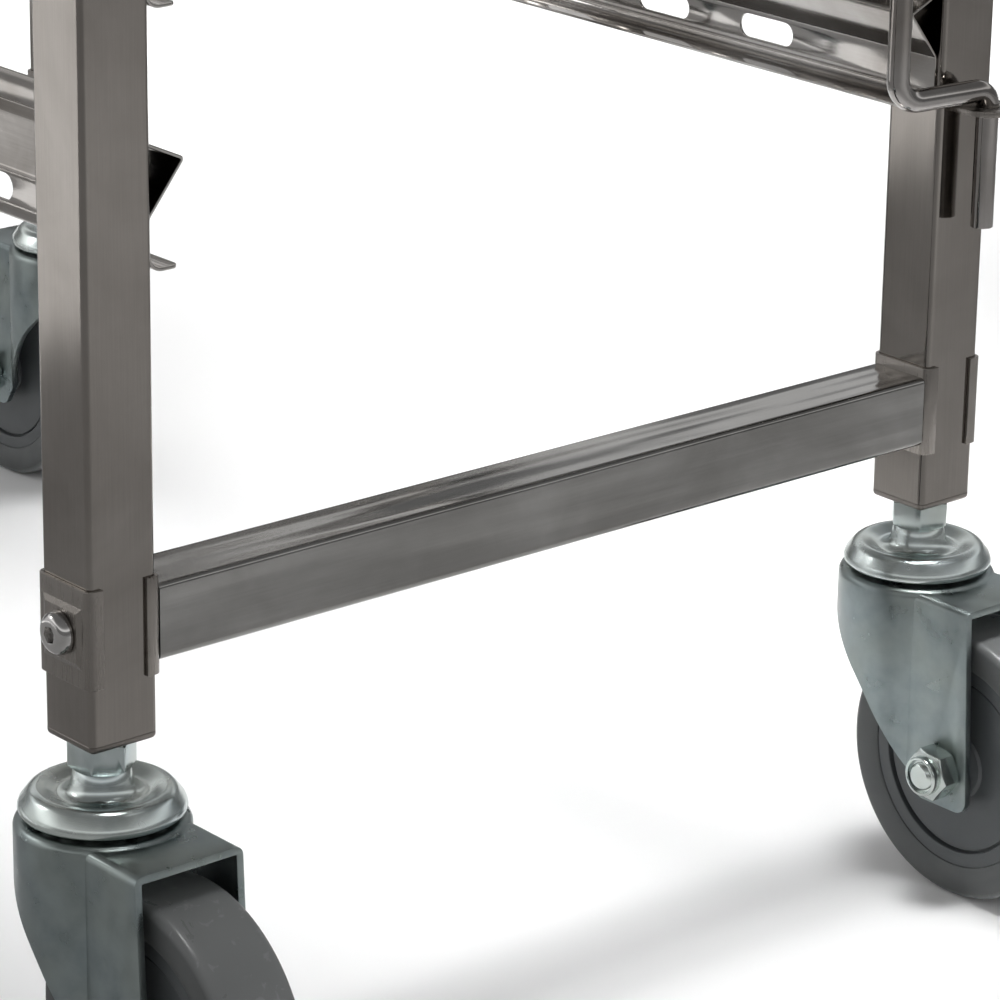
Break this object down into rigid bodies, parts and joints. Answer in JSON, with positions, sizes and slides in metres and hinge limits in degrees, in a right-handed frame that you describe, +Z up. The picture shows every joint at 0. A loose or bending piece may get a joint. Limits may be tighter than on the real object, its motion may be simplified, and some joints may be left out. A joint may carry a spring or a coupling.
{
  "type": "gastronorm pan rack",
  "caption": "Open wheeled rack of square steel tube with folded side slides for gastronorm pans, a swinging pan stop and swivel castors.",
  "frame": {"origin": "on the floor, under the centre of the rack", "axes": "+X to the rack's right, +Y from its front to its back, +Z up"},
  "size_m": [0.416, 0.697, 0.9025],
  "materials": {
    "brushed_tube": "stainless tube, brushed along its length",
    "polished_tube": "stainless tube, finely brushed and nearly mirror bright",
    "saddle_sheet": "stainless sheet, fine brushed",
    "slide_sheet": "stainless sheet, mirror polished",
    "rod_steel": "round stainless rod, polished",
    "bright_screw": "bright stainless screw",
    "plain_steel": "plain machined steel",
    "zinc": "pressed steel, bright zinc plated with a blue tint",
    "hub_plastic": "moulded grey plastic",
    "tyre_rubber": "grey non-marking rubber",
    "cap_plastic": "black moulded plastic"
  },
  "bodies": {
    "frame": {"upright_front_left": "brushed_tube", "upright_front_right": "brushed_tube", "upright_rear_left": "brushed_tube", "upright_rear_right": "brushed_tube", "upright_caps": "cap_plastic", "foot_inserts": "plain_steel", "crossbar_front_lower": "polished_tube", "crossbar_rear_lower": "polished_tube", "crossbar_front_upper": "polished_tube", "crossbar_rear_upper": "polished_tube", "inner_saddles": "saddle_sheet", "outer_saddles": "saddle_sheet", "crossbar_screws": "bright_screw", "crossbar_thread_blocks": "plain_steel", "slide_left_1": "slide_sheet", "slide_left_2": "slide_sheet", "slide_left_3": "slide_sheet", "slide_left_4": "slide_sheet", "slide_left_5": "slide_sheet", "slide_left_6": "slide_sheet", "slide_left_7": "slide_sheet", "slide_right_1": "slide_sheet", "slide_right_2": "slide_sheet", "slide_right_3": "slide_sheet", "slide_right_4": "slide_sheet", "slide_right_5": "slide_sheet", "slide_right_6": "slide_sheet", "slide_right_7": "slide_sheet", "hinge_plates": "saddle_sheet", "castor_lock_nuts": "zinc", "lower_races": "zinc", "swivel_balls": "plain_steel", "front_left_castor_head": "zinc", "front_right_castor_head": "zinc", "rear_left_castor_head": "zinc", "rear_right_castor_head": "zinc"},
    "pan_stop": {"pan_stop": "rod_steel"},
    "front_left_swivel": {"front_left_castor_fork": "zinc", "front_left_castor_axle": "zinc", "front_left_castor_sleeve": "plain_steel"},
    "front_left_wheel": {"front_left_castor_hub": "hub_plastic", "front_left_castor_tyre": "tyre_rubber"},
    "front_right_swivel": {"front_right_castor_fork": "zinc", "front_right_castor_axle": "zinc", "front_right_castor_sleeve": "plain_steel"},
    "front_right_wheel": {"front_right_castor_hub": "hub_plastic", "front_right_castor_tyre": "tyre_rubber"},
    "rear_left_swivel": {"rear_left_castor_fork": "zinc", "rear_left_castor_axle": "zinc", "rear_left_castor_sleeve": "plain_steel"},
    "rear_left_wheel": {"rear_left_castor_hub": "hub_plastic", "rear_left_castor_tyre": "tyre_rubber"},
    "rear_right_swivel": {"rear_right_castor_fork": "zinc", "rear_right_castor_axle": "zinc", "rear_right_castor_sleeve": "plain_steel"},
    "rear_right_wheel": {"rear_right_castor_hub": "hub_plastic", "rear_right_castor_tyre": "tyre_rubber"}
  },
  "joints": [
    {"name": "pan_stop_hinge", "type": "hinge", "parent": "frame", "child": "pan_stop", "pos_m": [0.1815, -0.284, 0.5], "axis": [0, 0, 1], "range_deg": [0, 200]},
    {"name": "front_left_swivel_turn", "type": "hinge", "parent": "frame", "child": "front_left_swivel", "pos_m": [-0.18, -0.2625, 0.108], "axis": [0, 0, 1], "continuous": true},
    {"name": "front_left_wheel_roll", "type": "hinge", "parent": "front_left_swivel", "child": "front_left_wheel", "pos_m": [-0.18, -0.2985, 0.05], "axis": [1, 0, 0], "continuous": true},
    {"name": "front_right_swivel_turn", "type": "hinge", "parent": "frame", "child": "front_right_swivel", "pos_m": [0.18, -0.2625, 0.108], "axis": [0, 0, 1], "continuous": true},
    {"name": "front_right_wheel_roll", "type": "hinge", "parent": "front_right_swivel", "child": "front_right_wheel", "pos_m": [0.18, -0.2985, 0.05], "axis": [1, 0, 0], "continuous": true},
    {"name": "rear_left_swivel_turn", "type": "hinge", "parent": "frame", "child": "rear_left_swivel", "pos_m": [-0.18, 0.2625, 0.108], "axis": [0, 0, 1], "continuous": true},
    {"name": "rear_left_wheel_roll", "type": "hinge", "parent": "rear_left_swivel", "child": "rear_left_wheel", "pos_m": [-0.18, 0.2985, 0.05], "axis": [1, 0, 0], "continuous": true},
    {"name": "rear_right_swivel_turn", "type": "hinge", "parent": "frame", "child": "rear_right_swivel", "pos_m": [0.18, 0.2625, 0.108], "axis": [0, 0, 1], "continuous": true},
    {"name": "rear_right_wheel_roll", "type": "hinge", "parent": "rear_right_swivel", "child": "rear_right_wheel", "pos_m": [0.18, 0.2985, 0.05], "axis": [1, 0, 0], "continuous": true}
  ]
}
